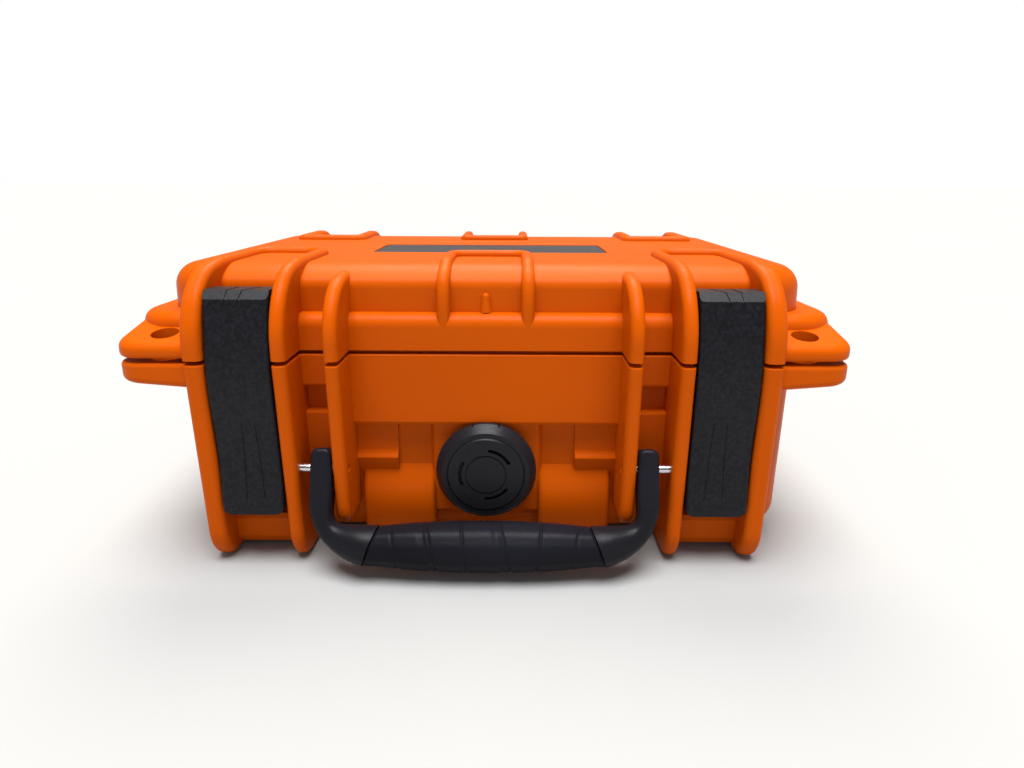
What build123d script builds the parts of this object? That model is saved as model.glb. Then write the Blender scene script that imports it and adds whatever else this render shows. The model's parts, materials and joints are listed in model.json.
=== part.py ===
from build123d import *
import math
import os

# A moulded protective carrying case: base and hinged lid, two draw latches on links,
# a folding carry handle, a pressure valve, a seal and a foam interior.
# X runs to the right, Y to the rear, Z up. The case stands on Z = 0.

# ---------------- driving dimensions, millimetres and degrees ----------------
PARTING = 82.0            # parting plane above the feet
RIM_GAP = 1.6             # open line between the two rims
WALL = 3.5                # moulded wall thickness
RIB_FRONT = -99.1         # Y of the front rib faces at the parting plane
OVERLAP = 1.0             # how far added features run into the walls

BODY_HALF_X = 126.0       # lid and base body at the parting plane
BODY_FRONT = 24.0         # depth of the front wall behind the ribs
BODY_REAR = 190.0         # depth of the rear wall behind the ribs
BODY_CORNER = 20.0
LID_DRAFT = 2.2
BASE_DRAFT = 0.5
LID_HEIGHT = 31.8         # parting plane to the flat top
LID_EDGE_R = 9.5          # top edge at the sides
LID_SLOPE_START = 26.0    # height where the front wall leans back
LID_SLOPE_DEPTH = 16.0    # depth over which it reaches the flat top
LID_SLOPE_HALF_X = 104.0  # the leaning stretch ends under the outer ribs
CREASE_R = 5.0
BASE_DROP = 79.0          # parting plane to the underside
BASE_EDGE_R = 9.0

RIM_HALF_X = 136.0
RIM_FRONT = 18.4
RIM_REAR = 196.0
RIM_CORNER = 18.0
RIM_DRAFT = 2.0
LID_RIM = 14.6
LID_RIM_R = 5.0
BASE_RIM = 13.9
BASE_RIM_R = 1.6
EDGE_R = 0.6              # rounding of the base's upper edges along the open line

RIB_ROUND = 2.5           # rounding of the rib crests
OUTER_RIB = (100.8, 108.0)
INNER_RIB = (70.8, 76.4)
SHORT_RIB = (52.0, 57.4)
CENTRE_RIB = (13.6, 18.6)
REAR_INNER_RIB = (70.6, 77.4)
CREST = 34.3              # rib crests above the parting plane, on the lid
FRAME_REAR = 80.0         # front rib frames end at this depth
FRAME_BAR = 6.8           # cross bars of the rib frames
FRAME_CORNER = 12.0
CENTRE_BAR_REAR = 67.0
REAR_FRAME_FRONT = 145.0

EAR_FRONT = 3.0           # lock ears at the front corners
EAR_HALF_X = 134.6
EAR_REAR = 44.0
EAR_CORNER = 9.0
EAR_TOP_FRONT = 6.2
EAR_TOP_REAR = 10.2
EAR_THICK = 10.8          # base ear beside the rib
EAR_TIP = 8.2             # base ear at its outer end
EAR_LIP_R = 1.6           # rounding of both ears along the open line
EAR_HOLE_X = 118.7
EAR_HOLE_DEPTH = 13.2
EAR_HOLE_R = 4.6          # hole of the base ear
LID_HOLE_R = 4.9          # wider hole of the lid ear

PLATE_HALF_X = 53.5
PLATE_DEPTHS = (80.0, 120.0)
PLATE_THICK = 1.0
PLATE_SUNK = 0.35
PLATE_BEVEL = 0.9

SEAL_INSET = 5.0          # seal line inside the rim's face
SEAL_WIDE = 3.0
SEAL_HIGH = 3.2
TONGUE_WIDE = 1.6

HINGE_DEPTH = 205.0       # hinge axis, level with the parting plane
HINGE_LOBE_R = 7.0
LOBE_TOP = 6.0            # the rounded rear ribs end here, in square lobes
HINGE_PIN_R = 2.0
HINGE_KNUCKLE = (78.0, 100.2)

LATCH_X = (76.9, 100.3)
LINK_PIN = (12.5, -50.0)  # depth and rise of the link's pin in the base ribs
PLATE_PIN = (10.4, -30.0) # depth and rise of the pin that joins link and latch
LATCH_PIN_R = 2.0
SMALL_PIN_R = 1.5
LINK_HALF_X = 7.5
LATCH_SIDE = 3.0
LATCH_SKIN = 2.9
LATCH_DROP = 60.4         # lower end under the parting plane
LATCH_CORNER = 3.6
LATCH_EDGE_R = 1.2
LATCH_LINE = 0.25         # depth of the lines in the latch
LATCH_LINE_X = 3.0

HANDLE_PIN = (6.5, -42.5)
HANDLE_PIN_R = 1.65
HANDLE_TILT = 22.0        # degrees that the hanging handle leans forward
ARM_OUT = 66.1
ARM_IN = 57.9
ARM_TOP = 7.6
GRIP_DROP = 29.4          # pin axis to the middle of the grip
HANDLE_THICK = 9.0
ARM_END_R = 3.0
ARM_EDGE_R = 1.8
BEND_R = 25.0             # outer radius of the lower bends
SHOULDER_R = 7.8          # round bar beside the grip
GRIP_R = 10.0             # middle of the grip
GRIP_TOP_X = 38.5         # the slanted seams, over and under the bar
GRIP_LOW_X = 47.5
CORE_R = 4.5

VALVE_RISE = -47.8
VALVE_R = 19.9
VALVE_SEAT = 22.0
VALVE_SEAT_HALF_X = 21.0
SHELF_START = 35.6        # X where the shelf beside the short rib begins
BELLY_END = 50.4          # X where the belly ends, short of the rib
VALVE_FLANGE = 3.6
VALVE_BORE_R = 9.0
RUN_FIT = 0.05            # radial clearance of turning pins and shafts
SEAT_FIT = 0.02           # radial clearance of pins that stay in their holes

FOAM_GAP = 0.8
PAD_THICK = 12.0
LID_FOAM_LOW = 4.0
FOAM_TOP = -1.6
FIELD_X = (-110.0, 110.0) # the pockets lie within this field, between straight foam bars
FIELD_Y = (-57.0, 72.0)
DRONE_END = 66.0          # right side of the drone's and the charger's pockets
CONTROLLER_END = 38.0
CHARGER_START = 46.0
BATTERY_START = 74.0
ROW_SPLIT = (-27.0, -16.0)
BATTERY_SPLIT = (-7.0, 10.0)
NUT_HALF = 17.0           # half width of the notch round the valve's nut
NUT_SLEEVE = 3.0          # foam left behind that notch
# X from and to, Y from and to, depth of each pocket
POCKETS = {
    "drone": (FIELD_X[0], DRONE_END, ROW_SPLIT[1], FIELD_Y[1], 50.0),
    "controller": (FIELD_X[0], CONTROLLER_END, FIELD_Y[0], ROW_SPLIT[0], 42.0),
    "battery_rear": (BATTERY_START, FIELD_X[1], BATTERY_SPLIT[1], FIELD_Y[1], 44.0),
    "battery_front": (BATTERY_START, FIELD_X[1], FIELD_Y[0], BATTERY_SPLIT[0], 44.0),
    "charger": (CHARGER_START, DRONE_END, FIELD_Y[0], ROW_SPLIT[0], 36.0),
}


# ---------------- helpers ----------------
def at(depth, rise):
    """Y and Z from the depth behind the front ribs and the height over the parting plane."""
    return (RIB_FRONT + depth, PARTING + rise)


def prism_x(face, x_low, x_high):
    """Draw a face of Y and Z out along X."""
    return extrude(Pos(x_low, 0, 0) * (Plane.YZ * face), amount=x_high - x_low)


def side_block(points, x_low, x_high):
    """Block along X with a straight-sided outline of (depth, rise) points."""
    return prism_x(make_face(Polyline(*[at(*p) for p in points], close=True)), x_low, x_high)


def rod_x(depth, rise, radius, x_low, x_high):
    """Round bar along X."""
    y, z = at(depth, rise)
    middle = (x_low + x_high) / 2
    return Pos(middle, y, z) * Rot(0, 90, 0) * Cylinder(radius, x_high - x_low)


def both_sides(shape):
    """The shape and its mirror image across the middle of the case."""
    return shape + mirror(shape, about=Plane.YZ)


def plan_block(half_x, front, rear, corner, rise, height, taper=0.0):
    """Rounded rectangular block, upwards or downwards from one height."""
    middle = RIB_FRONT + (front + rear) / 2
    plan = Pos(0, middle, PARTING + rise) * RectangleRounded(2 * half_x, rear - front, corner)
    way = (0, 0, math.copysign(1, height))
    return extrude(plan, amount=abs(height), dir=way, taper=taper)


def body_block(inset, rise, height):
    """The drafted body of lid (upwards) or base (downwards), or its hollow when inset by the wall."""
    draft = LID_DRAFT if height > 0 else BASE_DRAFT
    return plan_block(BODY_HALF_X - inset, BODY_FRONT + inset, BODY_REAR - inset,
                      BODY_CORNER - inset, rise, height, draft)


def far_face(shape, height):
    """The end face of a block drawn upwards (height > 0) or downwards."""
    ordered = shape.faces().sort_by(Axis.Z)
    return ordered[-1] if height > 0 else ordered[0]


def soften(shape, height, radius):
    """Round the edge of a block's far end."""
    return fillet(far_face(shape, height).edges(), radius)


def crest_edges(shape, above, seam):
    """Edges round a rib's crest: not upright, over one height, and not the crest's own seam."""
    upright = [e for e in shape.edges() if abs((e % 0.5).Z) > 0.98 and e.length < 60]
    seams = [e for e in shape.edges() if abs(e.center().Y - RIB_FRONT - seam) < 0.1
             and abs((e % 0.5).X) > 0.9]
    return [e for e in shape.edges() if e.center().Z > PARTING + above
            and e not in upright and e not in seams]


# ---------------- ribs ----------------
def front_crest(rear):
    """Outline of a front rib from the parting line over the lid's edge."""
    low = RIM_GAP / 2
    curve = Spline(at(0, low), at(0.2, 8.0), at(1.5, 14.0), at(3.2, 18.0), at(5.3, 21.7), at(8.8, 26.0),
                   at(13.8, 30.0), at(20.0, 32.6), at(28.0, 33.9), at(38.0, CREST),
                   tangents=[(0.0, 1.0), (1.0, 0.0)])
    rest = Polyline(at(38.0, CREST), at(rear, CREST), at(rear, low), at(0, low))
    return make_face(Curve() + [curve, rest])


def strip(x_low, x_high, front, rear):
    """Upright strip over the lid."""
    size = (x_high - x_low, rear - front, 60)
    return Pos((x_low + x_high) / 2, RIB_FRONT + (front + rear) / 2, PARTING + 30) * Box(*size)


def turned_corner(x_centre, depth_centre, outer, inner):
    """Upright quarter ring that turns a rib into its cross bar, right rear quarter."""
    x, y = x_centre, RIB_FRONT + depth_centre
    ring = Pos(x, y, PARTING + 30) * (Cylinder(outer, 60) - Cylinder(inner, 60))
    return ring & Pos(x + outer / 2, y + outer / 2, PARTING + 30) * Box(outer, outer, 60)


def ring_plan(x_low, x_high, rear, corner):
    """Upright block over the lid, open to the front, with two rounded rear corners."""
    front = RIB_FRONT - 60
    size_y = RIB_FRONT + rear - front
    centre = Pos((x_low + x_high) / 2, front + size_y / 2, PARTING)
    return extrude(centre * RectangleRounded(x_high - x_low, size_y, corner), amount=60)


def latch_frame():
    """Two latch ribs of the right side, joined by a cross bar on top of the lid."""
    plan = ring_plan(INNER_RIB[0], OUTER_RIB[1], FRAME_REAR, FRAME_CORNER)
    plan -= ring_plan(INNER_RIB[1], OUTER_RIB[0], FRAME_REAR - FRAME_BAR, FRAME_CORNER - FRAME_BAR)
    shape = prism_x(front_crest(90), 60, 115) & plan
    return fillet(crest_edges(shape, 1.5, 38.0), RIB_ROUND)


def short_rib():
    """Rib beside the handle, from the parting line into the lid's top edge."""
    low = RIM_GAP / 2
    rise = Spline(at(0, low + 6.5), at(0.9, 13.2), at(3.2, 18.2), at(5.8, 21.7), at(9.6, 25.1),
                  at(14.2, 27.5), at(20.0, 28.9), at(28.0, 29.6), at(38.0, 30.2),
                  tangents=[(0.0, 1.0), (1.0, 0.1)])
    foot = Polyline(at(38.0, 30.2), at(38.0, low), at(0, low), at(0, low + 6.5))
    shape = prism_x(make_face(Curve() + [rise, foot]), *SHORT_RIB)
    front = [e for e in shape.edges() if e.center().Y < RIB_FRONT + 30 and e.length > 5
             and abs(e.center().X - sum(SHORT_RIB) / 2) > 1 and e.center().Z > PARTING + low + 0.5]
    return fillet(front, RIB_ROUND - 0.1)


def over_edge_face(front, rear, low):
    """Outline that stands a little proud of the lid's front and top."""
    curve = Spline(at(front, low), at(front + 0.4, 20.0), at(front + 3.4, 28.2), at(33.0, 32.6),
                   at(43.0, CREST), tangents=[(0.0, 1.0), (1.0, 0.0)])
    rest = Polyline(at(43.0, CREST), at(rear, CREST), at(rear, low), at(front, low))
    return make_face(Curve() + [curve, rest])


def centre_frame():
    """Raised bridge in the middle of the lid's front edge."""
    corner = 8.0
    turn_x = CENTRE_RIB[1] - corner
    turn_depth = CENTRE_BAR_REAR - corner
    plan = both_sides(strip(*CENTRE_RIB, 0, turn_depth))
    plan += both_sides(turned_corner(turn_x, turn_depth, corner, corner - 5.0))
    plan += strip(-turn_x, turn_x, CENTRE_BAR_REAR - 5.0, CENTRE_BAR_REAR)
    shape = prism_x(over_edge_face(RIM_FRONT + 0.3, 90, 8.0), -30, 30) & plan
    return fillet(crest_edges(shape, 9.0, 43.0), RIB_ROUND - 0.4)


def rear_crest(front, rear):
    """Outline of a rear rib, from its cross bar over the rear edge down to the hinge lobe."""
    curve = Spline(at(180.0, CREST), at(191.0, 32.0), at(201.0, 25.4), at(207.6, 16.0),
                   at(rear, LOBE_TOP), tangents=[(1.0, 0.0), (0.1, -1.0)])
    rest = Polyline(at(rear, LOBE_TOP), at(front, LOBE_TOP), at(front, CREST), at(180.0, CREST))
    return make_face(Curve() + [curve, rest])


def rear_frame():
    """Hinge ribs of the right side with their cross bar and hinge lobes."""
    bar_rear = REAR_FRAME_FRONT + FRAME_BAR
    inner, outer = REAR_INNER_RIB, OUTER_RIB
    plan = strip(*outer, REAR_FRAME_FRONT, 230) + strip(*inner, REAR_FRAME_FRONT, 230)
    plan += strip(inner[0], outer[1], REAR_FRAME_FRONT, bar_rear)
    shape = prism_x(rear_crest(REAR_FRAME_FRONT, HINGE_DEPTH + HINGE_LOBE_R - 0.4), 60, 115) & plan
    corners = [e for e in shape.edges() if abs((e % 0.5).Z) > 0.99
               and abs(e.center().Y - RIB_FRONT - REAR_FRAME_FRONT) < 0.1]
    shape = fillet(corners, 4.0)
    shape = fillet(crest_edges(shape, LOBE_TOP + 0.5, 180.0), RIB_ROUND)
    rear = HINGE_DEPTH + HINGE_LOBE_R
    for rib in (inner, outer):
        shape += side_block([(rear, 0), (rear - 0.4, LOBE_TOP), (194, LOBE_TOP), (198, 0)], *rib)
        shape += rod_x(HINGE_DEPTH, 0, HINGE_LOBE_R, *rib)
    return shape


def rear_centre_frame():
    """Raised bridge in the middle of the lid's rear edge."""
    front = REAR_FRAME_FRONT + 3
    plan = both_sides(strip(*CENTRE_RIB, front, 230)) + strip(-16, 16, front, front + 5.0)
    curve = Spline(at(180.0, CREST), at(189.0, 31.6), at(194.6, 24.0), at(195.4, 8.0),
                   tangents=[(1.0, 0.0), (0.0, -1.0)])
    rest = Polyline(at(195.4, 8.0), at(front, 8.0), at(front, CREST), at(180.0, CREST))
    shape = prism_x(make_face(Curve() + [curve, rest]), -30, 30) & plan
    corners = [e for e in shape.edges() if abs((e % 0.5).Z) > 0.99
               and abs(e.center().Y - RIB_FRONT - front) < 0.1 and abs(e.center().X) > 15]
    shape = fillet(corners, 4.0)
    return fillet(crest_edges(shape, 9.0, 180.0), RIB_ROUND - 0.4)


def moulding_pip():
    """Small tapered peg on the front of the lid."""
    y, z = at(BODY_FRONT + 0.3, LID_RIM + 3.0)
    return Pos(0, y, z) * (Cone(2.3, 1.5, 5.8) + Pos(0, 0, 2.9) * Sphere(1.5))


# ---------------- lid shell ----------------
def lid_body():
    """Drafted lid with a leaning stretch along its front and rear top edges."""
    block = soften(body_block(0, 0, LID_HEIGHT), 1, LID_EDGE_R)
    middle_y = RIB_FRONT + (BODY_FRONT + BODY_REAR) / 2
    window = Pos(0, middle_y, PARTING + 30) * Box(2 * LID_SLOPE_HALF_X, 300, 80)
    lean = math.tan(math.radians(LID_DRAFT)) * LID_SLOPE_START
    front, rear = BODY_FRONT + lean, BODY_REAR - lean
    top_front, top_rear = front + LID_SLOPE_DEPTH, rear - LID_SLOPE_DEPTH
    drop = LID_HEIGHT - LID_SLOPE_START
    radius = (LID_SLOPE_DEPTH ** 2 + drop ** 2) / (2 * drop)
    outline = Curve() + [
        Line(at(BODY_FRONT, 0), at(front, LID_SLOPE_START)),
        RadiusArc(at(front, LID_SLOPE_START), at(top_front, LID_HEIGHT), radius),
        Line(at(top_front, LID_HEIGHT), at(top_rear, LID_HEIGHT)),
        RadiusArc(at(top_rear, LID_HEIGHT), at(rear, LID_SLOPE_START), radius),
        Line(at(rear, LID_SLOPE_START), at(BODY_REAR, 0)),
        Line(at(BODY_REAR, 0), at(BODY_FRONT, 0))]
    middle = prism_x(make_face(outline), -LID_SLOPE_HALF_X, LID_SLOPE_HALF_X)
    creases = [e for e in middle.edges() if abs(e.center().Z - PARTING - LID_SLOPE_START) < 0.1
               and abs((e % 0.5).X) > 0.9]
    return (block - window) + fillet(creases, CREASE_R)


def lid_ears():
    """Sloping lock ears at the front corners of the lid."""
    low = RIM_GAP / 2
    plan = plan_block(EAR_HALF_X, EAR_FRONT, EAR_REAR + 20, EAR_CORNER, 0, 30)
    slope = (EAR_TOP_REAR - EAR_TOP_FRONT) / 20
    rear_top = EAR_TOP_FRONT + slope * (EAR_REAR - EAR_FRONT)
    wedge = side_block([(EAR_FRONT, low), (EAR_FRONT, EAR_TOP_FRONT), (EAR_REAR, rear_top),
                        (EAR_REAR, low)], OUTER_RIB[0] + 2, EAR_HALF_X)
    ear = wedge & plan
    rims = [e for e in ear.edges() if e.center().Y < RIB_FRONT + EAR_REAR - 1
            and e.center().X > OUTER_RIB[0] + 3]
    ear = fillet([e for e in rims if e.center().Z > PARTING + EAR_TOP_FRONT - 1], 3.4)
    lips = [e for e in ear.edges() if abs(e.center().Z - PARTING - low) < 0.01
            and e.center().Y < RIB_FRONT + EAR_REAR - 1 and e.center().X > OUTER_RIB[0] + 3]
    return both_sides(fillet(lips, EAR_LIP_R))


def ear_holes(radius):
    """Upright lock holes through the ears of lid or base."""
    hole = Pos(EAR_HOLE_X, RIB_FRONT + EAR_HOLE_DEPTH, PARTING) * Cylinder(radius, 60)
    return both_sides(hole)


def plate_seat():
    """Shallow bevelled seat of the name plate."""
    depth = PLATE_THICK + PLATE_SUNK
    seat = plan_block(PLATE_HALF_X + 0.15, PLATE_DEPTHS[0] - 0.15, PLATE_DEPTHS[1] + 0.15, 3.15,
                      LID_HEIGHT - depth, depth + 1)
    bevel = plan_block(PLATE_HALF_X, PLATE_DEPTHS[0], PLATE_DEPTHS[1], 3.0,
                       LID_HEIGHT - PLATE_SUNK, 3 * PLATE_BEVEL, -45)
    return seat + bevel


def seal_ring(width, rise, height):
    """Ring along the rim's seal line."""
    half = width / 2
    rings = []
    for inset in (SEAL_INSET - half, SEAL_INSET + half):
        rings.append(plan_block(RIM_HALF_X - inset, RIM_FRONT + inset, RIM_REAR - inset,
                                RIM_CORNER - inset, rise, height))
    return rings[0] - rings[1]


def lid_catches():
    """Ledges between the latch ribs that the latches hook over."""
    ledge = side_block([(18.9, LID_RIM - 6), (18.9, 20.0), (26.0, 21.5), (26.0, LID_RIM - 6)],
                       INNER_RIB[1] - OVERLAP, OUTER_RIB[0] + OVERLAP)
    front = [e for e in ledge.edges() if abs((e % 0.5).X) > 0.9
             and e.center().Y < RIB_FRONT + 20 and e.center().Z > PARTING + 16]
    return both_sides(fillet(front, 1.0))


def lid_shell():
    """Lid with its rim, ribs, ears and hinge lobes, hollow inside."""
    low = RIM_GAP / 2
    rim = plan_block(RIM_HALF_X, RIM_FRONT, RIM_REAR, RIM_CORNER, low, LID_RIM - low, RIM_DRAFT)
    lid = soften(rim, 1, LID_RIM_R) + lid_body()
    lid += both_sides(latch_frame()) + both_sides(short_rib()) + centre_frame()
    lid += both_sides(rear_frame()) + rear_centre_frame()
    lid += lid_ears() + lid_catches() + moulding_pip()
    hollow = soften(body_block(WALL, -1, LID_HEIGHT - WALL + 1), 1, LID_EDGE_R - WALL)
    lid -= hollow
    lid -= Pos(0, 0, PARTING + low - 20) * Box(400, 2 * abs(RIB_FRONT) - 4, 40)
    lid -= ear_holes(LID_HOLE_R) + plate_seat() + seal_ring(SEAL_WIDE, low - 1, SEAL_HIGH + 1)
    lid -= both_sides(rod_x(HINGE_DEPTH, 0, HINGE_PIN_R + RUN_FIT, 60, 115))
    return lid


# ---------------- base shell ----------------
def round_top(shape):
    """Round the front of a rib's upper end along the open line."""
    top = [e for e in shape.edges() if abs(e.center().Z - PARTING + RIM_GAP / 2) < 0.01
           and e.center().Y < RIB_FRONT + 12]
    return fillet([e for e in top if e.center().Y < RIB_FRONT + 3], EDGE_R)


def runner(x_low, x_high):
    """Rib down the front, under the case as a foot and up the rear."""
    low = RIM_GAP / 2
    foot = -PARTING
    outline = Curve() + [
        Line(at(0, -low), at(2.6, -69.0)),
        Spline(at(2.6, -69.0), at(5.6, -77.4), at(14.0, foot), tangents=[(0.04, -1.0), (1.0, 0.0)]),
        Line(at(14.0, foot), at(190.0, foot)),
        Spline(at(190.0, foot), at(198.6, -77.6), at(202.0, -69.0), tangents=[(1.0, 0.0), (0.04, 1.0)]),
        Line(at(202.0, -69.0), at(203.4, -30.0)),
        Line(at(203.4, -30.0), at(196.0, -20.0)),
        Line(at(196.0, -20.0), at(188.0, -20.0)),
        Polyline(at(188.0, -20.0), at(188.0, -BASE_RIM), at(22.0, -BASE_RIM), at(22.0, -low),
                 at(0, -low))]
    shape = prism_x(make_face(outline), x_low, x_high)
    middle = (x_low + x_high) / 2
    outside = [e for e in shape.edges() if abs(e.center().X - middle) > 1 and e.length > 4
               and (e.center().Y < RIB_FRONT + 9 or e.center().Y > RIB_FRONT + 198
                    or e.center().Z < 6)]
    return round_top(fillet(outside, RIB_ROUND))


def base_short_rib():
    """Rib beside the handle that holds the inner end of the handle pin."""
    low = RIM_GAP / 2
    outline = Curve() + [
        Line(at(0, -low), at(2.0, -57.8)),
        Spline(at(2.0, -57.8), at(3.4, -63.0), at(8.0, -65.2), tangents=[(0.04, -1.0), (1.0, 0.0)]),
        Polyline(at(8.0, -65.2), at(28.0, -65.2), at(28.0, -low), at(0, -low))]
    shape = prism_x(make_face(outline), *SHORT_RIB)
    middle = sum(SHORT_RIB) / 2
    outside = [e for e in shape.edges() if abs(e.center().X - middle) > 1
               and (e.center().Y < RIB_FRONT + 9 or e.center().Z < PARTING - 64.5)]
    return round_top(fillet(outside, RIB_ROUND - 0.1))


def belly():
    """Bulging lower front between the valve seat and the short rib."""
    back = BODY_FRONT + 4
    outline = Curve() + [
        Spline(at(back, -44.6), at(23.6, -49.5), at(20.0, -58.0), at(19.4, -67.0), at(20.6, -75.0),
               at(24.0, -79.0), tangents=[(-0.8, -0.55), (1.0, -0.35)]),
        Polyline(at(24.0, -79.0), at(back, -79.0), at(back, -44.6))]
    shape = prism_x(make_face(outline), VALVE_SEAT_HALF_X, BELLY_END)
    ends = [e for e in shape.edges() if e.length > 30 and e.center().Y < RIB_FRONT + 24]
    return fillet(ends, 1.8)


def valve_seat():
    """Flat seat of the valve with slanted flanks."""
    y_seat, y_back = RIB_FRONT + VALVE_SEAT, RIB_FRONT + BODY_FRONT + 4
    half = VALVE_SEAT_HALF_X
    plan = Polyline((-half, y_seat), (half, y_seat), (half + 4, y_back), (-half - 4, y_back), close=True)
    return Pos(0, 0, PARTING - 67.5) * extrude(make_face(plan), amount=39)


def front_panels():
    """Raised panels, shelves, belly and valve seat on the base's front."""
    wide = SHORT_RIB[0] + OVERLAP
    back = BODY_FRONT + 4
    panel = side_block([(RIM_FRONT, -2), (RIM_FRONT, -28.0), (19.2, -29.3), (back, -29.3), (back, -2)],
                       -wide, wide)
    shelf = side_block([(back, -38.6), (20.6, -43.0), (20.0, -44.0), (24.4, -52.6), (back, -52.6)],
                       SHELF_START, wide)
    step = side_block([(23.2, -28), (23.2, -50), (back, -50), (back, -28)], SHELF_START, wide)
    blocks = side_block([(20.2, -24), (19.6, -25), (20.6, -60), (back, -66), (back, -24)],
                        SHORT_RIB[1] - OVERLAP, INNER_RIB[0] + OVERLAP)
    webs = side_block([(14.6, -66), (13.6, -68), (14.2, -76.0), (16.5, -79.4), (19.0, -80.3),
                       (back, -80.3), (back, -66)], INNER_RIB[1] - OVERLAP, OUTER_RIB[0] + OVERLAP)
    shelf_edge = [e for e in shelf.edges() if abs((e % 0.5).X) > 0.9 and e.center().Y < RIB_FRONT + 20.8]
    shelf = fillet(shelf_edge, 0.4)
    return panel + valve_seat() + both_sides(belly() + shelf + step + blocks + webs)


def base_ears():
    """Lock ears under those of the lid, thinner towards their ends."""
    low = RIM_GAP / 2
    plan = plan_block(EAR_HALF_X, EAR_FRONT, EAR_REAR + 20, EAR_CORNER, -20, 20 - low)
    x_low = OUTER_RIB[0] + 2
    section = Polyline((x_low, -low), (EAR_HALF_X, -low), (EAR_HALF_X, -EAR_TIP), (x_low, -EAR_THICK),
                       close=True)
    wedge = Plane.XZ * make_face(section)
    wedge = Pos(0, RIB_FRONT + EAR_REAR, PARTING) * extrude(wedge, amount=60)
    ear = wedge & plan
    sides = [e for e in ear.edges() if e.center().Y < RIB_FRONT + EAR_REAR - 1
             and e.center().X > x_low + 1 and abs((e % 0.5).Z) < 0.9]
    ear = fillet([e for e in sides if e.center().Z < PARTING - 4], 2.6)
    lips = [e for e in ear.edges() if abs(e.center().Z - PARTING + low) < 0.01
            and e.center().Y < RIB_FRONT + EAR_REAR - 1 and e.center().X > x_low + 1]
    return both_sides(fillet(lips, EAR_LIP_R))


def hinge_knuckle():
    """Base knuckle between the two hinge lobes of the lid."""
    y_axis = HINGE_DEPTH
    web = side_block([(y_axis + HINGE_LOBE_R, 0), (y_axis + HINGE_LOBE_R, -6), (203.0, -34),
                      (BODY_REAR - 3, -48), (BODY_REAR - 3, -6), (197, -6), (198, 0)], *HINGE_KNUCKLE)
    side = [e for e in web.edges() if e.center().Y > RIB_FRONT + 200 and e.length > 5
            and abs(e.center().X - sum(HINGE_KNUCKLE) / 2) > 1 and e.center().Z < PARTING - 1]
    web = fillet([e for e in side if e.length > 10], 2.0)
    return web + rod_x(y_axis, 0, HINGE_LOBE_R, *HINGE_KNUCKLE)


def base_shell():
    """Base with its rim, ribs, feet, ears and hinge knuckles, hollow inside."""
    low = RIM_GAP / 2
    rim = plan_block(RIM_HALF_X, RIM_FRONT, RIM_REAR, RIM_CORNER, -low, low - BASE_RIM, RIM_DRAFT)
    rim = fillet(rim.edges().group_by(Axis.Z)[-1], EDGE_R)
    base = soften(rim, -1, BASE_RIM_R) + soften(body_block(0, -low, low - BASE_DROP), -1, BASE_EDGE_R)
    for rib in (OUTER_RIB, INNER_RIB):
        base += both_sides(runner(*rib))
    base += both_sides(base_short_rib()) + front_panels() + base_ears()
    base += both_sides(hinge_knuckle())
    hollow = soften(body_block(WALL, 1, WALL - BASE_DROP - 1), -1, BASE_EDGE_R - WALL + 1)
    base -= hollow
    base += seal_ring(TONGUE_WIDE, -low - OVERLAP, 1.4 + OVERLAP)
    base -= ear_holes(EAR_HOLE_R)
    base -= both_sides(rod_x(HINGE_DEPTH, 0, HINGE_PIN_R + SEAT_FIT, 60, 115))
    base -= both_sides(rod_x(*LINK_PIN, LATCH_PIN_R + SEAT_FIT, 73.4, 104.6))
    base -= both_sides(rod_x(*HANDLE_PIN, HANDLE_PIN_R + SEAT_FIT, 50, 73.6))
    base -= valve_axis() * Cylinder(VALVE_BORE_R + RUN_FIT, 60)
    return base


# ---------------- seal, plate and hinge pins ----------------
def lid_gasket():
    """Seal pressed into the groove of the lid's rim."""
    return seal_ring(SEAL_WIDE - 0.1, RIM_GAP / 2 + 0.25, SEAL_HIGH - 0.3)


def name_plate():
    """Plain plate glued into the seat on the lid."""
    plate = plan_block(PLATE_HALF_X, *PLATE_DEPTHS, 3.0, LID_HEIGHT - PLATE_THICK - PLATE_SUNK,
                       PLATE_THICK)
    return soften(plate, 1, 0.3)


def round_pin(depth, rise, radius, x_low, x_high):
    """Steel pin along X with broken ends."""
    pin = rod_x(depth, rise, radius, x_low, x_high)
    return chamfer(pin.edges().filter_by(GeomType.CIRCLE), 0.3)


# ---------------- latches ----------------
def latch_outline():
    """Side view of a latch: hooked top, gently waved front, pinned lugs behind."""
    front = Spline(at(5.8, 22.2), at(3.5, 12.5), at(1.7, 3.0), at(0.8, -7.0), at(1.4, -19.0),
                   at(2.5, -32.0), at(2.6, -42.0), at(1.8, -52.0), at(1.6, -57.5),
                   tangents=[(-0.22, -1.0), (0.0, -1.0)])
    back = Polyline(at(1.6, -57.5), at(2.1, -LATCH_DROP), at(7.0, -LATCH_DROP), at(7.9, -58.0), at(7.9, -42.0),
                    at(13.6, -36.0), at(13.6, -22.0), at(14.6, -8.0), at(17.0, -2.0), at(17.0, 18.0),
                    at(18.2, 22.0), at(18.0, 25.0), at(8.6, 25.2), at(5.8, 22.2))
    return make_face(Curve() + [front, back])


def latch_hollow(middle):
    """Space inside the latch, open to the rear, where the link works."""
    half = (LATCH_X[1] - LATCH_X[0]) / 2 - LATCH_SIDE
    skin = LATCH_SKIN
    return side_block([(5.0 + skin, 19.0), (2.6 + skin, 7.0), (1.4 + skin, -4.0), (1.6 + skin, -19.0),
                       (2.7 + skin, -32.0), (2.8 + skin, -42.0), (2.2 + skin, -57.0), (30.0, -57.0),
                       (30.0, 19.0)], middle - half, middle + half)


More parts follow.
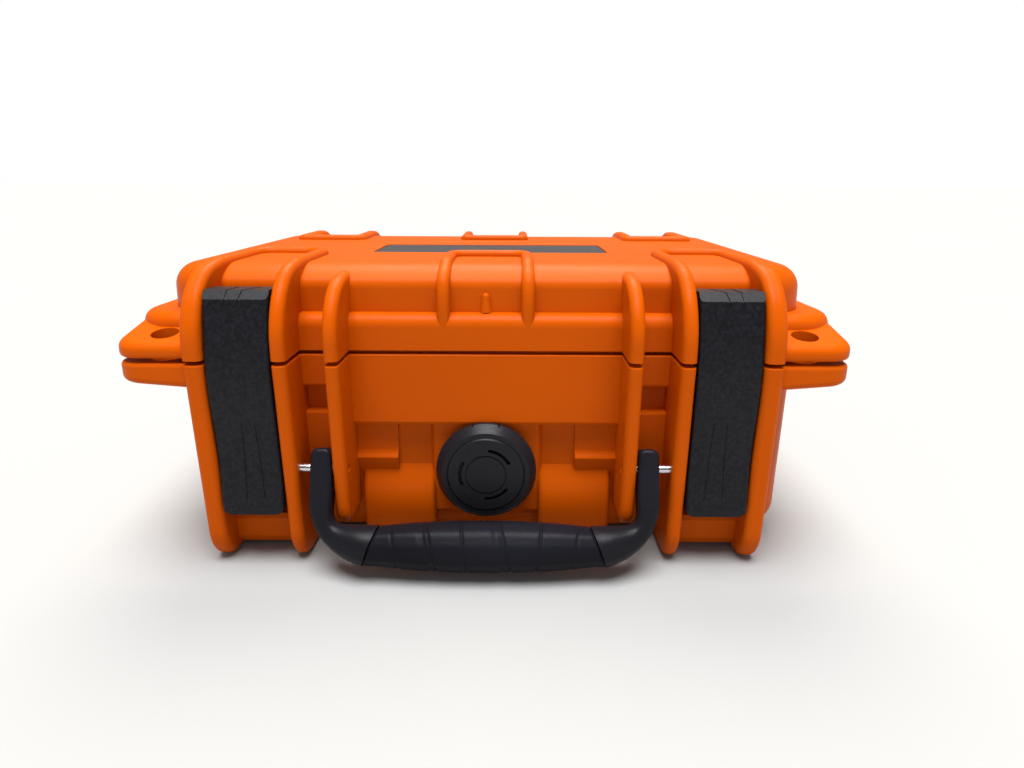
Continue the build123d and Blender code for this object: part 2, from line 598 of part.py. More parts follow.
def latch_grooves(skin, middle):
    """Shallow lines in the latch's skin: slanted over its top, upright on its lower half."""
    y_top, z_top = at(10.0, 23.5)
    y_low, z_low = at(4.0, -38.0)
    lines = []
    for side, lean, wide in ((-1, 20, 0.9), (1, 6, 0.8)):
        x = middle + side * LATCH_LINE_X
        lines.append(skin & Pos(x, y_top, z_top) * Rot(0, 0, lean) * Box(wide, 26, 7))
    for x_low, lean in ((-4.6, 2.0), (1.2, -1.5)):
        lines.append(skin & Pos(middle + x_low, y_low, z_low) * Rot(0, lean, 0) * Box(0.6, 8, 30))
    return lines


def latch_right():
    """Right latch plate."""
    middle = sum(LATCH_X) / 2
    latch = prism_x(latch_outline(), *LATCH_X)
    latch = fillet([e for e in latch.edges() if e.length > 60], LATCH_EDGE_R)
    front = extrude(RectangleRounded(LATCH_X[1] - LATCH_X[0], 100, LATCH_CORNER), amount=30, both=True)
    latch &= Pos(middle, RIB_FRONT, PARTING - LATCH_DROP + 50) * Rot(90, 0, 0) * front
    skin = latch - Pos(0, LATCH_LINE, -LATCH_LINE) * latch
    for groove in latch_grooves(skin, middle):
        latch -= groove
    latch -= latch_hollow(middle)
    return latch - rod_x(*PLATE_PIN, SMALL_PIN_R + SEAT_FIT, *LATCH_X)


def link_right():
    """Link between the base and the right latch plate."""
    middle = sum(LATCH_X) / 2
    span = (middle - LINK_HALF_X, middle + LINK_HALF_X)
    (low_depth, low_rise), (high_depth, high_rise) = LINK_PIN, PLATE_PIN
    link = rod_x(low_depth, low_rise, 3.6, *span) + rod_x(high_depth, high_rise, 3.1, *span)
    link += side_block([(low_depth - 2.4, low_rise), (low_depth + 2.8, low_rise),
                        (high_depth + 2.4, high_rise), (high_depth - 2.2, high_rise)], *span)
    link -= rod_x(low_depth, low_rise, LATCH_PIN_R + RUN_FIT, *span)
    return link - rod_x(high_depth, high_rise, SMALL_PIN_R + RUN_FIT, *span)


# ---------------- handle ----------------
def handle_plane():
    """Plane of the hanging handle: its origin on the pin axis, its Y towards the pins' top."""
    y, z = at(*HANDLE_PIN)
    lean = math.radians(HANDLE_TILT)
    return Plane(origin=(0, y, z), x_dir=(1, 0, 0), z_dir=(0, -math.cos(lean), math.sin(lean)))


def bend_section(outer, inner, thick, corner_r):
    """Cross-section of the handle's bend between a point outside and one inside."""
    wide = (outer - inner).length
    across = (outer - inner).normalized()
    plane = Plane(origin=(outer + inner) / 2, x_dir=across, z_dir=across.rotate(Axis.Z, -90))
    return plane * RectangleRounded(wide, thick, corner_r)


def handle_half():
    """Right half of the handle in its own plane: straight arm, widening bend and round bar."""
    wide, round_r = ARM_OUT - ARM_IN, SHOULDER_R - 0.05
    middle = Vector(ARM_OUT - BEND_R, BEND_R - GRIP_DROP - SHOULDER_R, 0)
    length = ARM_TOP - middle.Y
    arm = Pos(ARM_IN + wide / 2, middle.Y + length / 2) * Box(wide, length, HANDLE_THICK)
    arm = fillet([e for e in arm.edges() if abs((e % 0.5).Z) > 0.9 and e.center().Y > 0], ARM_END_R)
    arm = fillet([e for e in arm.edges() if abs(abs(e.center().Z) - HANDLE_THICK / 2) < 0.01
                  and e.center().Y > middle.Y + 0.1], ARM_EDGE_R)
    inside = [(ARM_IN, middle.Y), (ARM_IN, middle.Y - 4.4), (ARM_IN - 1.2, middle.Y - 7.6),
              (ARM_IN - 4.6, middle.Y - 9.1), (middle.X, SHOULDER_R - GRIP_DROP)]
    grown = [(HANDLE_THICK, ARM_EDGE_R), (9.0, 2.6), (9.8, 4.3), (13.2, 6.4), (2 * SHOULDER_R, round_r)]
    sections = []
    for k, (x, y) in enumerate(inside):
        outer = middle + Vector(0, BEND_R, 0).rotate(Axis.Z, -90 - 22.5 * k)
        sections.append(bend_section(outer, Vector(x, y, 0), *grown[k]))
    return arm + loft(sections) + extrude(sections[-1], amount=middle.X - GRIP_TOP_X + 3)


def round_bar():
    """Round sleeve of the grip, thickest in its middle."""
    end = GRIP_LOW_X
    curve = Spline((-end, SHOULDER_R), (-GRIP_TOP_X + 1, SHOULDER_R + 0.2), (-22.0, GRIP_R - 0.5),
                   (0, GRIP_R), (22.0, GRIP_R - 0.5), (GRIP_TOP_X - 1, SHOULDER_R + 0.2),
                   (end, SHOULDER_R), tangents=[(1, 0), (1, 0)])
    rest = Polyline((end, SHOULDER_R), (end, 0), (-end, 0), (-end, SHOULDER_R))
    return revolve(make_face(Curve() + [curve, rest]), Axis.X)


def grip_zone():
    """Block between the slanted seams."""
    side = Polyline((-GRIP_TOP_X, 12), (GRIP_TOP_X, 12), (GRIP_LOW_X, -12), (-GRIP_LOW_X, -12), close=True)
    return extrude(make_face(side), amount=20, both=True)


def handle_place():
    """Place of the bar's middle in the hanging handle."""
    return handle_plane().location * Pos(0, -GRIP_DROP, 0)


def handle_frame():
    """Arms and shoulders around a thinner core bar, one moulding."""
    half = handle_half()
    frame = handle_plane().location * (half + mirror(half, Plane.YZ))
    core = handle_place() * Rot(0, 90, 0) * Cylinder(CORE_R, 2 * GRIP_LOW_X)
    frame = frame - handle_place() * grip_zone() + core
    return frame - rod_x(*HANDLE_PIN, HANDLE_PIN_R + RUN_FIT, -80, 80)


def handle_grip():
    """Soft sleeve around the core bar, between slanted seams."""
    sleeve = round_bar() - Rot(0, 90, 0) * Cylinder(CORE_R, 2 * ARM_IN)
    return handle_place() * (sleeve & grip_zone())


# ---------------- valve ----------------
def valve_axis(depth=VALVE_SEAT):
    """Place on the valve's axis with its local Z pointing out of the case's front."""
    y, z = at(depth, VALVE_RISE)
    return Plane(origin=(0, y, z), x_dir=(1, 0, 0), z_dir=(0, -1, 0)).location


def disc(depth, radius, length):
    """Disc on the valve's axis from one depth towards the front."""
    return valve_axis(depth) * Pos(0, 0, length / 2) * Cylinder(radius, length)


def valve_body():
    """Threaded stub with its flange on the seat and an air way through it."""
    body = disc(36.0, VALVE_BORE_R, 36.0 - VALVE_SEAT) + disc(VALVE_SEAT, 16.5, VALVE_FLANGE)
    body += disc(VALVE_SEAT - VALVE_FLANGE, 6.0, 3.8)
    body -= valve_oring()
    return body - disc(37.0, 4.0, 10.0) - disc(30.0, 1.5, 20.0)


def valve_oring():
    """Ring that seals the flange."""
    return disc(VALVE_SEAT, 14.0, 1.2) - disc(VALVE_SEAT, 11.8, 1.2)


def valve_membrane():
    """Breathing disc in the valve's inner mouth."""
    return disc(30.8, 3.9, 0.6)


def valve_nut():
    """Nut inside the case."""
    prism = extrude(RegularPolygon(13.0, 6), amount=4.5)
    return valve_axis(34.4) * prism - disc(40, VALVE_BORE_R + 0.03, 20)


def valve_knob():
    """Turning bezel with a tapered, notched edge."""
    front, back = 12.2, 18.0
    body = disc(back, VALVE_R, 2.2) + valve_axis(back - 2.2) * Pos(0, 0, 1.8) * Cone(VALVE_R, 17.2, 3.6)
    body -= disc(front + 2.2, 15.4, 3.0)
    body -= disc(back + 1, 6.0 + RUN_FIT, 6)
    for turn in range(12):
        place = valve_axis(back) * Rot(0, 0, 15 + 30 * turn) * Pos(VALVE_R + 0.2, 0, 3.0)
        body -= place * Box(1.4, 1.0, 9.0)
    return body


def valve_cap():
    """Disc in the bezel with three air slots."""
    depth = 14.4
    cap = chamfer(disc(depth, 15.2, 2.6).edges().group_by(Axis.Y)[0], 0.5)
    cap -= disc(depth - 2.0, 8.2, 0.9) - disc(depth - 2.0, 7.6, 0.9)
    for turn in (55, 177, 296):
        slot = Rot(0, 0, turn - 26) * SlotArc(CenterArc((0, 0), 10.2, 0, 52), 1.4)
        cap -= valve_axis(depth + 1) * extrude(slot, amount=5)
    return cap


# ---------------- foam ----------------
def base_foam_pad():
    """Flat foam sheet on the case's floor."""
    floor = WALL - BASE_DROP
    block = body_block(WALL + FOAM_GAP, 0, floor + FOAM_GAP / 2)
    block = soften(block, -1, BASE_EDGE_R - WALL + 1)
    return block - Pos(0, 0, PARTING + floor + PAD_THICK + 50) * Box(400, 400, 100)


def foam_bar(block, x_low, x_high, y_low, y_high, z_low, z_high):
    """Part of the foam block between two corners."""
    size = (x_high - x_low, y_high - y_low, z_high - z_low)
    middle = ((x_low + x_high) / 2, (y_low + y_high) / 2, (z_low + z_high) / 2)
    return Solid((block & Pos(*middle) * Box(*size)).solid().wrapped)


def foam_bars():
    """Foam insert of the base: straight bars, and a floor under each pocket, glued together."""
    low = PARTING + WALL - BASE_DROP + PAD_THICK + 0.4
    top = PARTING + FOAM_TOP
    far = 160.0
    block = body_block(WALL + FOAM_GAP, FOAM_TOP, WALL - BASE_DROP - FOAM_TOP)
    notch_top = PARTING + VALVE_RISE + NUT_HALF
    field_left, field_right = FIELD_X
    field_front, field_rear = FIELD_Y
    spans = {
        "left": (-far, field_left, -far, far, low, top),
        "right": (field_right, far, -far, far, low, top),
        "rear": (field_left, field_right, field_rear, far, low, top),
        "front_left": (field_left, -NUT_HALF, -far, field_front, low, top),
        "front_right": (NUT_HALF, field_right, -far, field_front, low, top),
        "over_valve": (-NUT_HALF, NUT_HALF, -far, field_front, notch_top, top),
        "behind_valve": (-NUT_HALF, NUT_HALF, field_front - NUT_SLEEVE, field_front, low, notch_top),
        "divider_long": (field_left, DRONE_END, *ROW_SPLIT, low, top),
        "divider_cross": (DRONE_END, BATTERY_START, field_front, field_rear, low, top),
        "divider_batteries": (BATTERY_START, field_right, *BATTERY_SPLIT, low, top),
        "divider_charger": (CONTROLLER_END, CHARGER_START, field_front, ROW_SPLIT[0], low, top),
    }
    for name, (*plan, depth) in POCKETS.items():
        spans[f"floor_{name}"] = (*plan, low, top - depth)
    return {f"foam_{name}": foam_bar(block, *span) for name, span in spans.items()}


def lid_foam():
    """Foam sheet in the lid."""
    top = LID_HEIGHT - WALL - 0.4
    block = body_block(WALL + FOAM_GAP, LID_FOAM_LOW, top - LID_FOAM_LOW)
    return soften(block, 1, LID_EDGE_R - WALL + 0.5)


# ---------------- all sub-parts ----------------
def sided(name, shape):
    """A right-hand piece and its left-hand mirror image."""
    return {name + "_right": shape, name + "_left": mirror(shape, about=Plane.YZ)}


def all_parts():
    """Every sub-part under its node name."""
    parts = {
        "base_shell": base_shell(),
        "lid_shell": lid_shell(),
        "lid_gasket": lid_gasket(),
        "name_plate": name_plate(),
        "lid_foam": lid_foam(),
        "base_foam_pad": base_foam_pad(),
        "handle_frame": handle_frame(),
        "handle_grip": handle_grip(),
        "valve_body": valve_body(),
        "valve_oring": valve_oring(),
        "valve_membrane": valve_membrane(),
        "valve_nut": valve_nut(),
        "valve_knob": valve_knob(),
        "valve_cap": valve_cap(),
    }
    parts |= foam_bars()
    parts |= sided("hinge_pin", round_pin(HINGE_DEPTH, 0, HINGE_PIN_R, REAR_INNER_RIB[0], OUTER_RIB[1]))
    parts |= sided("latch", latch_right())
    parts |= sided("latch_link", link_right())
    parts |= sided("link_pin", round_pin(*LINK_PIN, LATCH_PIN_R, 73.6, 104.4))
    parts |= sided("latch_pin", round_pin(*PLATE_PIN, SMALL_PIN_R, LATCH_X[0] + 0.2, LATCH_X[1] - 0.2))
    parts |= sided("handle_pin", round_pin(*HANDLE_PIN, HANDLE_PIN_R, 52.6, 73.4))
    return parts


os.makedirs("parts", exist_ok=True)
for node, shape in all_parts().items():
    export_step(shape, f"parts/{node}.step")
    print(node, round(shape.volume / 1000, 2), "cm3")
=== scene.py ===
import json
import math

import bmesh
import bpy
from mathutils import Matrix, Vector, noise


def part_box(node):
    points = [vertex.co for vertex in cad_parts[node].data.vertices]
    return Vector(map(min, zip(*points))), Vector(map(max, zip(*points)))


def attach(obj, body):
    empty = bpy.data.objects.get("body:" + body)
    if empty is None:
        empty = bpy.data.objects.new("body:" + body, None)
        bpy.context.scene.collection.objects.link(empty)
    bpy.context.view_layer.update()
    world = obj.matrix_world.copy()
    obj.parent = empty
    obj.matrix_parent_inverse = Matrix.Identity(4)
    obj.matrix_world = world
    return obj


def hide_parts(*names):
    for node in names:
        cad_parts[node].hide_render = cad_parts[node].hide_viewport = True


# A moulded carrying case for a drone: orange shells, black latches, handle and valve,
# grey foam inside. All lengths are in metres, in the frame of the CAD.

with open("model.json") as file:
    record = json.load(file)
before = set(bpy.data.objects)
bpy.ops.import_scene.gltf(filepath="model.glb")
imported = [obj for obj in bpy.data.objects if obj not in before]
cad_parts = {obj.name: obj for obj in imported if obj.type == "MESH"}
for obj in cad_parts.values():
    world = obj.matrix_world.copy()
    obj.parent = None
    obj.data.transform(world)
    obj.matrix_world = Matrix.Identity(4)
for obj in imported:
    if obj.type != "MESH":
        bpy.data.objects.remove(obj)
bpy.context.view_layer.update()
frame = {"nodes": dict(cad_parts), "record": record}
NODES = frame["nodes"]

MM = 0.001


# ---------------- node helpers ----------------
def new_material(name):
    """Empty node material: its tree, its shader and its texture coordinates."""
    material = bpy.data.materials.new(name)
    material.use_nodes = True
    tree = material.node_tree
    shader = tree.nodes["Principled BSDF"]
    coordinates = tree.nodes.new("ShaderNodeTexCoord").outputs["Object"]
    return material, tree, shader, coordinates


def noise_node(tree, place, per_metre, detail=2.0, roughness=0.5):
    """Noise texture of so many waves per metre; returns its value output."""
    node = tree.nodes.new("ShaderNodeTexNoise")
    node.inputs["Scale"].default_value = per_metre
    node.inputs["Detail"].default_value = detail
    node.inputs["Roughness"].default_value = roughness
    tree.links.new(place, node.inputs["Vector"])
    return node.outputs["Fac"]


def cells_node(tree, place, per_metre):
    """Cell texture of so many cells per metre; returns its distance output."""
    node = tree.nodes.new("ShaderNodeTexVoronoi")
    node.inputs["Scale"].default_value = per_metre
    tree.links.new(place, node.inputs["Vector"])
    return node.outputs["Distance"]


def spread(tree, value, low, high, out_low, out_high):
    """Map a value's range to another one."""
    node = tree.nodes.new("ShaderNodeMapRange")
    node.inputs["From Min"].default_value = low
    node.inputs["From Max"].default_value = high
    node.inputs["To Min"].default_value = out_low
    node.inputs["To Max"].default_value = out_high
    tree.links.new(value, node.inputs["Value"])
    return node.outputs["Result"]


def two_colours(tree, value, first, second):
    """Colour between two, by a value from 0 to 1."""
    node = tree.nodes.new("ShaderNodeMix")
    node.data_type = "RGBA"
    node.inputs["A"].default_value = (*first, 1.0)
    node.inputs["B"].default_value = (*second, 1.0)
    tree.links.new(value, node.inputs["Factor"])
    return node.outputs["Result"]


def combine(tree, first, second, operation="ADD"):
    """Two values joined by one operation."""
    node = tree.nodes.new("ShaderNodeMath")
    node.operation = operation
    tree.links.new(first, node.inputs[0])
    if isinstance(second, (int, float)):
        node.inputs[1].default_value = second
    else:
        tree.links.new(second, node.inputs[1])
    return node.outputs["Value"]


def bump(tree, shader, height, depth):
    """Drive the shader's normal by a height of that depth."""
    node = tree.nodes.new("ShaderNodeBump")
    node.inputs["Strength"].default_value = 1.0
    node.inputs["Distance"].default_value = depth
    tree.links.new(height, node.inputs["Height"])
    tree.links.new(node.outputs["Normal"], shader.inputs["Normal"])


# ---------------- materials ----------------
def moulded(name, dark, light, rough, grain, depth, specular):
    """Moulded plastic: slight clouding, uneven gloss and a fine spark-eroded grain."""
    material, tree, shader, place = new_material(name)
    clouds = noise_node(tree, place, 14.0, 3.0)
    fine = noise_node(tree, place, grain, 3.0, 0.6)
    colour = two_colours(tree, spread(tree, clouds, 0.3, 0.7, 0.0, 1.0), dark, light)
    tree.links.new(colour, shader.inputs["Base Color"])
    gloss = combine(tree, spread(tree, noise_node(tree, place, 45.0), 0.3, 0.7, -0.03, 0.03),
                    spread(tree, fine, 0.3, 0.7, rough - 0.06, rough + 0.06))
    tree.links.new(gloss, shader.inputs["Roughness"])
    shader.inputs["Specular IOR Level"].default_value = specular
    bump(tree, shader, fine, depth)
    return material


def sparkling(name, dark, light):
    """Black plastic with bright flecks in a coarse grain."""
    material, tree, shader, place = new_material(name)
    fine = noise_node(tree, place, 1700.0, 2.0, 0.6)
    flecks = spread(tree, cells_node(tree, place, 1700.0), 0.0, 0.34, 1.0, 0.0)
    clouds = spread(tree, noise_node(tree, place, 700.0, 3.0), 0.35, 0.7, 0.0, 0.3)
    colour = two_colours(tree, combine(tree, combine(tree, flecks, 0.4, "MULTIPLY"), clouds),
                         dark, light)
    tree.links.new(colour, shader.inputs["Base Color"])
    tree.links.new(spread(tree, flecks, 0.0, 1.0, 0.46, 0.3), shader.inputs["Roughness"])
    shader.inputs["Specular IOR Level"].default_value = 0.2
    bump(tree, shader, fine, 0.09 * MM)
    return material


def steel(name):
    """Drawn steel: bright, with faint lines round its axis."""
    material, tree, shader, place = new_material(name)
    lines = tree.nodes.new("ShaderNodeTexWave")
    lines.bands_direction = "X"
    lines.inputs["Scale"].default_value = 1500.0
    lines.inputs["Distortion"].default_value = 1.5
    tree.links.new(place, lines.inputs["Vector"])
    shader.inputs["Metallic"].default_value = 1.0
    colour = two_colours(tree, noise_node(tree, place, 90.0), (0.55, 0.55, 0.57), (0.8, 0.8, 0.82))
    tree.links.new(colour, shader.inputs["Base Color"])
    tree.links.new(spread(tree, lines.outputs["Fac"], 0.0, 1.0, 0.2, 0.28),
                   shader.inputs["Roughness"])
    bump(tree, shader, lines.outputs["Fac"], 0.002 * MM)
    return material


def rubber(name, dark, light):
    """Soft seal or grip rubber."""
    material, tree, shader, place = new_material(name)
    fine = noise_node(tree, place, 900.0, 2.0)
    colour = two_colours(tree, noise_node(tree, place, 50.0, 3.0), dark, light)
    tree.links.new(colour, shader.inputs["Base Color"])
    tree.links.new(spread(tree, fine, 0.3, 0.7, 0.5, 0.66), shader.inputs["Roughness"])
    bump(tree, shader, fine, 0.03 * MM)
    return material


def foam(name):
    """Open charcoal foam: small pores in a matt, slightly uneven body, with painted shade darkening the
    pores' hollows.
    """
    material, tree, shader, place = new_material(name)
    pores = cells_node(tree, place, 900.0)
    large = cells_node(tree, place, 420.0)
    skin = combine(tree, combine(tree, pores, 0.6, "MULTIPLY"), combine(tree, large, 0.5, "MULTIPLY"))
    clouds = noise_node(tree, place, 35.0, 4.0)
    # painted shade: the colour is darker where the pore relief is low, in the pores' hollows; the clouds
    # add random tone
    shade = combine(tree, spread(tree, skin, 0.1, 0.6, 0.0, 0.7), combine(tree, clouds, 0.4, "MULTIPLY"))
    colour = two_colours(tree, shade, (0.012, 0.012, 0.0135), (0.05, 0.0505, 0.054))
    tree.links.new(colour, shader.inputs["Base Color"])
    shader.inputs["Roughness"].default_value = 0.95
    shader.inputs["Specular IOR Level"].default_value = 0.15
    shader.inputs["Sheen Weight"].default_value = 0.25
    shader.inputs["Sheen Roughness"].default_value = 0.6
    bump(tree, shader, skin, 0.35 * MM)
    return material


MATERIALS = {
    "shell_plastic": moulded("orange_polypropylene", (0.483, 0.0705, 0.0001), (0.522, 0.0785, 0.0002),
                             0.36, 1100.0, 0.045 * MM, 0.05),
    "latch_plastic": sparkling("latch_black", (0.0032, 0.0032, 0.0045), (0.026, 0.027, 0.04)),
    "handle_plastic": moulded("handle_black", (0.008, 0.0078, 0.010), (0.012, 0.0118, 0.0165),
                              0.36, 1300.0, 0.05 * MM, 0.1),
    "grip_rubber": moulded("grip_black", (0.0065, 0.0063, 0.0085), (0.0105, 0.0103, 0.016),
                           0.36, 1000.0, 0.06 * MM, 0.06),
    "valve_plastic": moulded("valve_black", (0.009, 0.009, 0.0115), (0.013, 0.013, 0.0165),
                             0.36, 1200.0, 0.05 * MM, 0.14),
    "plate_plastic": moulded("plate_grey", (0.036, 0.034, 0.038), (0.043, 0.041, 0.046),
                             0.36, 1600.0, 0.012 * MM, 0.16),
    "seal_rubber": rubber("seal_black", (0.010, 0.010, 0.011), (0.018, 0.018, 0.019)),
    "steel": steel("pin_steel"),
    "foam": foam("charcoal_foam"),
}


def dress_nodes():
    """Give every CAD node the material of its slot."""
    for sub in frame["record"]["subparts"]:
        node = NODES[sub["node"]]
        material = MATERIALS[sub["material_slot"]]
        if not node.data.materials:
            node.data.materials.append(material)
        for place in node.material_slots:
            place.material = material


# ---------------- mesh helpers ----------------
def add_object(name, mesh, slot_name):
    """New piece of that mesh, with the finish of a slot."""
    piece = bpy.data.objects.new(name, mesh)
    bpy.context.scene.collection.objects.link(piece)
    mesh.materials.clear()
    mesh.materials.append(MATERIALS[slot_name])
    return piece


def grid_mesh(name, rings):
    """Smooth mesh through rings of points, each ring closed round, its two ends capped."""
    shape = bmesh.new()
    rows = [[shape.verts.new(point) for point in ring] for ring in rings]
    count = len(rows[0])
    for first, second in zip(rows, rows[1:]):
        for k in range(count):
            shape.faces.new((first[k], first[(k + 1) % count], second[(k + 1) % count], second[k]))
    shape.faces.new(list(reversed(rows[0])))
    shape.faces.new(rows[-1])
    bmesh.ops.recalc_face_normals(shape, faces=shape.faces)
    mesh = bpy.data.meshes.new(name)
    shape.to_mesh(mesh)
    shape.free()
    mesh.shade_smooth()
    return mesh


def smooth_step(value):
    """0 under 0, 1 over 1, and smooth between."""
    value = min(max(value, 0.0), 1.0)
    return value * value * (3.0 - 2.0 * value)


def bell(distance, width):
    """1 on a line, falling to 0 at that distance from it."""
    return 1.0 - smooth_step(abs(distance) / width)


# ---------------- grip ----------------
HANDLE_TILT = math.radians(22.0)
SEAM_MID = 43.0 * MM       # where the slanted seams cross the grip's axis
SEAM_LEAN = 0.375          # the seam moves outwards by this for each metre down
SHOULDER_R = 7.8 * MM
FACETS = 10
FACET_TURN = math.radians(19.0)
FACET_DEPTH = 0.011
RIDGE_HIGH = 0.45 * MM
RIDGE_ANGLE = math.radians(-29.0)
RIDGES = ((-27.5 * MM, 8.8 * MM), (-0.2 * MM, 9.6 * MM), (27.2 * MM, 8.8 * MM))
# middle, lean and depth of the slanted steps round the grip
STEPS = ((-19.5 * MM, 0.22, 0.8 * MM), (8.0 * MM, 0.2, 0.8 * MM))
LINES = ((-7.5 * MM, 0.12, 0.4 * MM), (20.5 * MM, -0.12, 0.4 * MM),
         (-33.5 * MM, 0.2, 0.32 * MM), (34.0 * MM, -0.2, 0.32 * MM))


def grip_radius(x, angle, largest):
    """Radius of the grip's surface at a place along it and an angle round it."""
    along = min(abs(x) / SEAM_MID, 1.0)
    body = SHOULDER_R + (largest - SHOULDER_R) * (1.0 - along ** 3) ** 1.5
    radius = (body - RIDGE_HIGH) * (1.0 - FACET_DEPTH * math.cos(FACETS * (angle - FACET_TURN)))
    up = math.sin(angle) * body
    front = smooth_step((math.cos(angle) + 0.3) / 0.6)
    for middle, lean, depth in STEPS:
        gap = x - middle + lean * up
        radius -= front * depth * (bell(gap, 0.65 * MM) * 0.7 + 0.5 * bell(gap + 2.2 * MM, 2.6 * MM))
    for middle, lean, depth in LINES:
        radius -= front * depth * bell(x - middle + lean * up, 0.8 * MM)
    for middle, half in RIDGES:
        reach = smooth_step((half - abs(x - middle)) / (1.2 * MM))
        turn = (angle - RIDGE_ANGLE - 0.9 * (x - middle) * math.copysign(1.0, middle)
                * (abs(middle) > 5 * MM)) * radius
        radius += RIDGE_HIGH * reach * bell(turn, 0.7 * MM)
    return radius


def grip_piece():
    """Soft faceted sleeve of the handle, between its two slanted seams."""
    low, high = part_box("handle_grip")
    centre = (low + high) / 2
    largest = (high.z - low.z) / 2
    up = Vector((0.0, math.sin(HANDLE_TILT), math.cos(HANDLE_TILT)))
    out = Vector((0.0, -math.cos(HANDLE_TILT), math.sin(HANDLE_TILT)))
    around, length = 120, 260
    fractions = [2.0 * k / length - 1.0 for k in range(length + 1)]
    rings = []
    for number, fraction in enumerate(fractions):
        ring = []
        edge = min(number, length - number)
        for k in range(around):
            angle = 2.0 * math.pi * k / around
            rough_up = math.sin(angle) * SHOULDER_R
            x = fraction * (SEAM_MID - SEAM_LEAN * rough_up - 0.15 * MM)
            radius = grip_radius(x, angle, largest)
            radius -= 0.45 * MM * (1.0 - smooth_step(edge / 3.0))
            ring.append(centre + Vector((x, 0, 0)) + radius * (math.sin(angle) * up
                                                               + math.cos(angle) * out))
        rings.append(ring)
    grip = add_object("grip_sleeve", grid_mesh("grip_sleeve", rings), "grip_rubber")
    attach(grip, "handle")
    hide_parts("handle_grip")


# ---------------- foam ----------------
EGG_PITCH = 30 * MM        # from bump to bump of the lid's egg-crate foam
EGG_DEPTH = 10 * MM
EGG_MARGIN = 9 * MM        # the bumps fade out over this, towards the edge


def foam_copy(name, nodes, voxel):
    """Soft-edged copy of the CAD foam solids, joined and remeshed evenly."""
    shape = bmesh.new()
    for node in nodes:
        shape.from_mesh(NODES[node].data)
    joined = bpy.data.meshes.new(name)
    shape.to_mesh(joined)
    shape.free()
    piece = add_object(name, joined, "foam")
    remesh = piece.modifiers.new("even", "REMESH")
    remesh.mode = "VOXEL"
    remesh.voxel_size = voxel
    smooth = piece.modifiers.new("soft", "SMOOTH")
    smooth.factor = 0.5
    smooth.iterations = 3
    depsgraph = bpy.context.evaluated_depsgraph_get()
    mesh = bpy.data.meshes.new_from_object(piece.evaluated_get(depsgraph))
    piece.modifiers.clear()
    piece.data = mesh
    mesh.shade_smooth()
    return piece


def ruffle(piece, height):
    """Cut foam is never quite flat: move its skin by a small smooth noise, inwards only."""
    for vertex in piece.data.vertices:
        wave = noise.noise(vertex.co * 45.0) * 0.5 + 0.5
        vertex.co -= vertex.normal * height * wave


def settle(piece, body, nodes):
    """Attach a foam piece to its body and let it stand for its CAD nodes, which are hidden."""
    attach(piece, body)
    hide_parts(*nodes)


def base_foam_piece():
    """Block foam of the base, with a pocket for each thing that it holds."""
    nodes = sorted(node for node in NODES if node.startswith("foam_"))
    piece = foam_copy("base_foam_block", nodes, 2.2 * MM)
    ruffle(piece, 0.5 * MM)
    settle(piece, "base", nodes)


def base_pad_piece():
    """Flat foam under the block."""
    piece = foam_copy("base_foam_sheet", ["base_foam_pad"], 3 * MM)
    ruffle(piece, 0.4 * MM)
    settle(piece, "base", ["base_foam_pad"])


def lid_foam_piece():
    """Egg-crate foam of the lid: rounded bumps and hollows on its lower side."""
    low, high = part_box("lid_foam")
    piece = foam_copy("lid_foam_crate", ["lid_foam"], 2.4 * MM)
    for vertex in piece.data.vertices:
        x, y, z = vertex.co
        wall = min(x - low.x, high.x - x, y - low.y, high.y - y)
        inside = smooth_step((wall - 2 * MM) / EGG_MARGIN)
        beneath = 1.0 - smooth_step((z - low.z) / (high.z - low.z))
        wave = 0.5 - 0.5 * (math.cos(2 * math.pi * x / EGG_PITCH) * math.cos(2 * math.pi * y / EGG_PITCH))
        vertex.co.z += EGG_DEPTH * wave * inside * beneath
    settle(piece, "lid", ["lid_foam"])


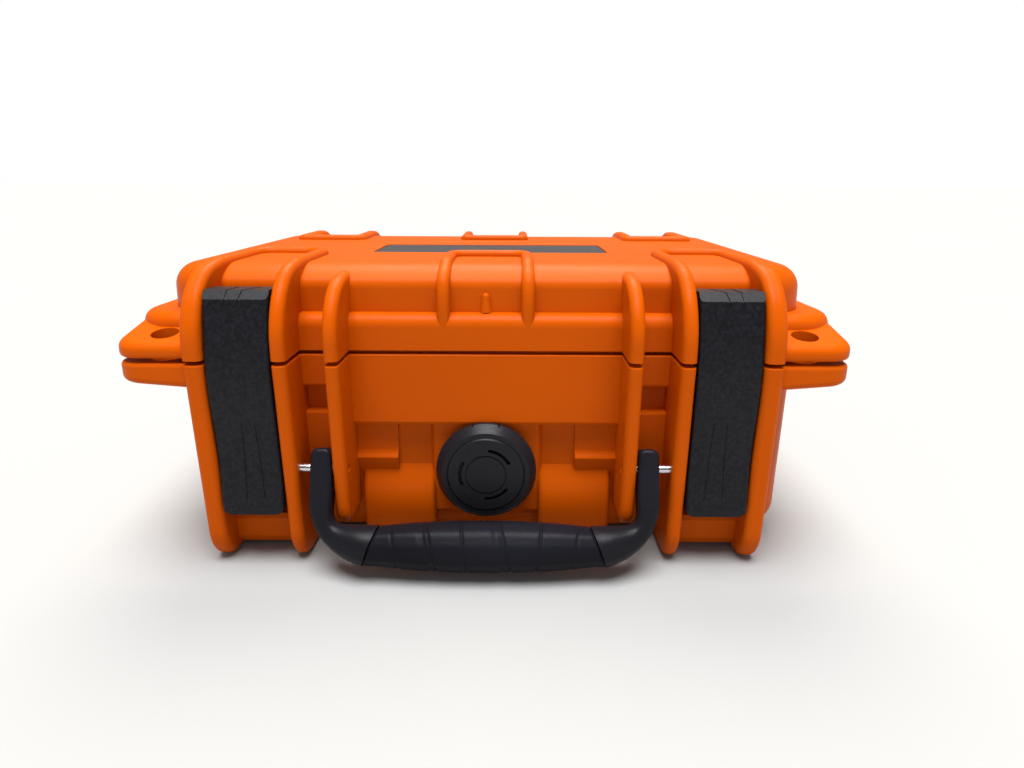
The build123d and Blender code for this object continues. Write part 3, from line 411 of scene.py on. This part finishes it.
# ---------------- stage, light and camera ----------------
def floor():
    """Plain pale floor, far larger than the view."""
    half, steps = 40.0, 8
    shape = bmesh.new()
    bmesh.ops.create_grid(shape, x_segments=steps, y_segments=steps, size=half)
    bmesh.ops.translate(shape, verts=shape.verts, vec=(0, 0, -0.3 * MM))
    mesh = bpy.data.meshes.new("floor")
    shape.to_mesh(mesh)
    shape.free()
    plane = bpy.data.objects.new("floor", mesh)
    bpy.context.scene.collection.objects.link(plane)
    material, tree, shader, place = new_material("floor_paper")
    colour = two_colours(tree, noise_node(tree, place, 3.0), (0.355, 0.355, 0.355), (0.365, 0.365, 0.365))
    tree.links.new(colour, shader.inputs["Base Color"])
    shader.inputs["Roughness"].default_value = 0.9
    shader.inputs["Specular IOR Level"].default_value = 0.0
    mesh.materials.append(material)


def sun(name, elevation, softness, power, tint):
    """Very soft light; over 90 degrees, it comes from behind."""
    data = bpy.data.lights.new(name, "SUN")
    data.angle = math.radians(softness)
    data.energy = power
    data.color = tint
    light = bpy.data.objects.new(name, data)
    light.rotation_euler = (math.radians(90.0 - elevation), 0.0, 0.0)
    bpy.context.scene.collection.objects.link(light)


def lighting():
    """White surroundings, dimmer above the horizon, and two large soft lights overhead."""
    world = bpy.data.worlds.new("studio")
    world.use_nodes = True
    tree = world.node_tree
    background = tree.nodes["Background"]
    place = tree.nodes.new("ShaderNodeTexCoord").outputs["Generated"]
    split = tree.nodes.new("ShaderNodeSeparateXYZ")
    tree.links.new(place, split.inputs["Vector"])
    level = spread(tree, split.outputs["Z"], 0.22, 0.5, 1.0, 0.2)
    glossy = tree.nodes.new("ShaderNodeLightPath").outputs["Is Glossy Ray"]
    level = combine(tree, level, spread(tree, glossy, 0.0, 1.0, 1.0, 0.15), "MULTIPLY")
    tree.links.new(level, background.inputs["Strength"])
    background.inputs["Color"].default_value = (1.0, 1.0, 1.0, 1.0)
    bpy.context.scene.world = world
    sun("overhead", 79.0, 40.0, 5.8, (1.0, 1.0, 1.0))
    sun("rear", 125.0, 40.0, 2.7, (1.0, 0.96, 0.84))


def camera():
    """The photograph's view: from the front, a little above."""
    data = bpy.data.cameras.new("view")
    data.lens = 23.84
    data.sensor_width = 36.0
    view = bpy.data.objects.new("view", data)
    bpy.context.scene.collection.objects.link(view)
    view.matrix_world = (Matrix.Translation((0.01014, -0.3322, 0.14464))
                         @ Matrix.Rotation(math.radians(90.0 - 16.6), 4, "X")
                         @ Matrix.Rotation(math.radians(0.284), 4, "Z"))
    bpy.context.scene.camera = view


dress_nodes()
grip_piece()
base_foam_piece()
base_pad_piece()
lid_foam_piece()
floor()
lighting()
camera()
bpy.context.scene.view_settings.view_transform = "Standard"
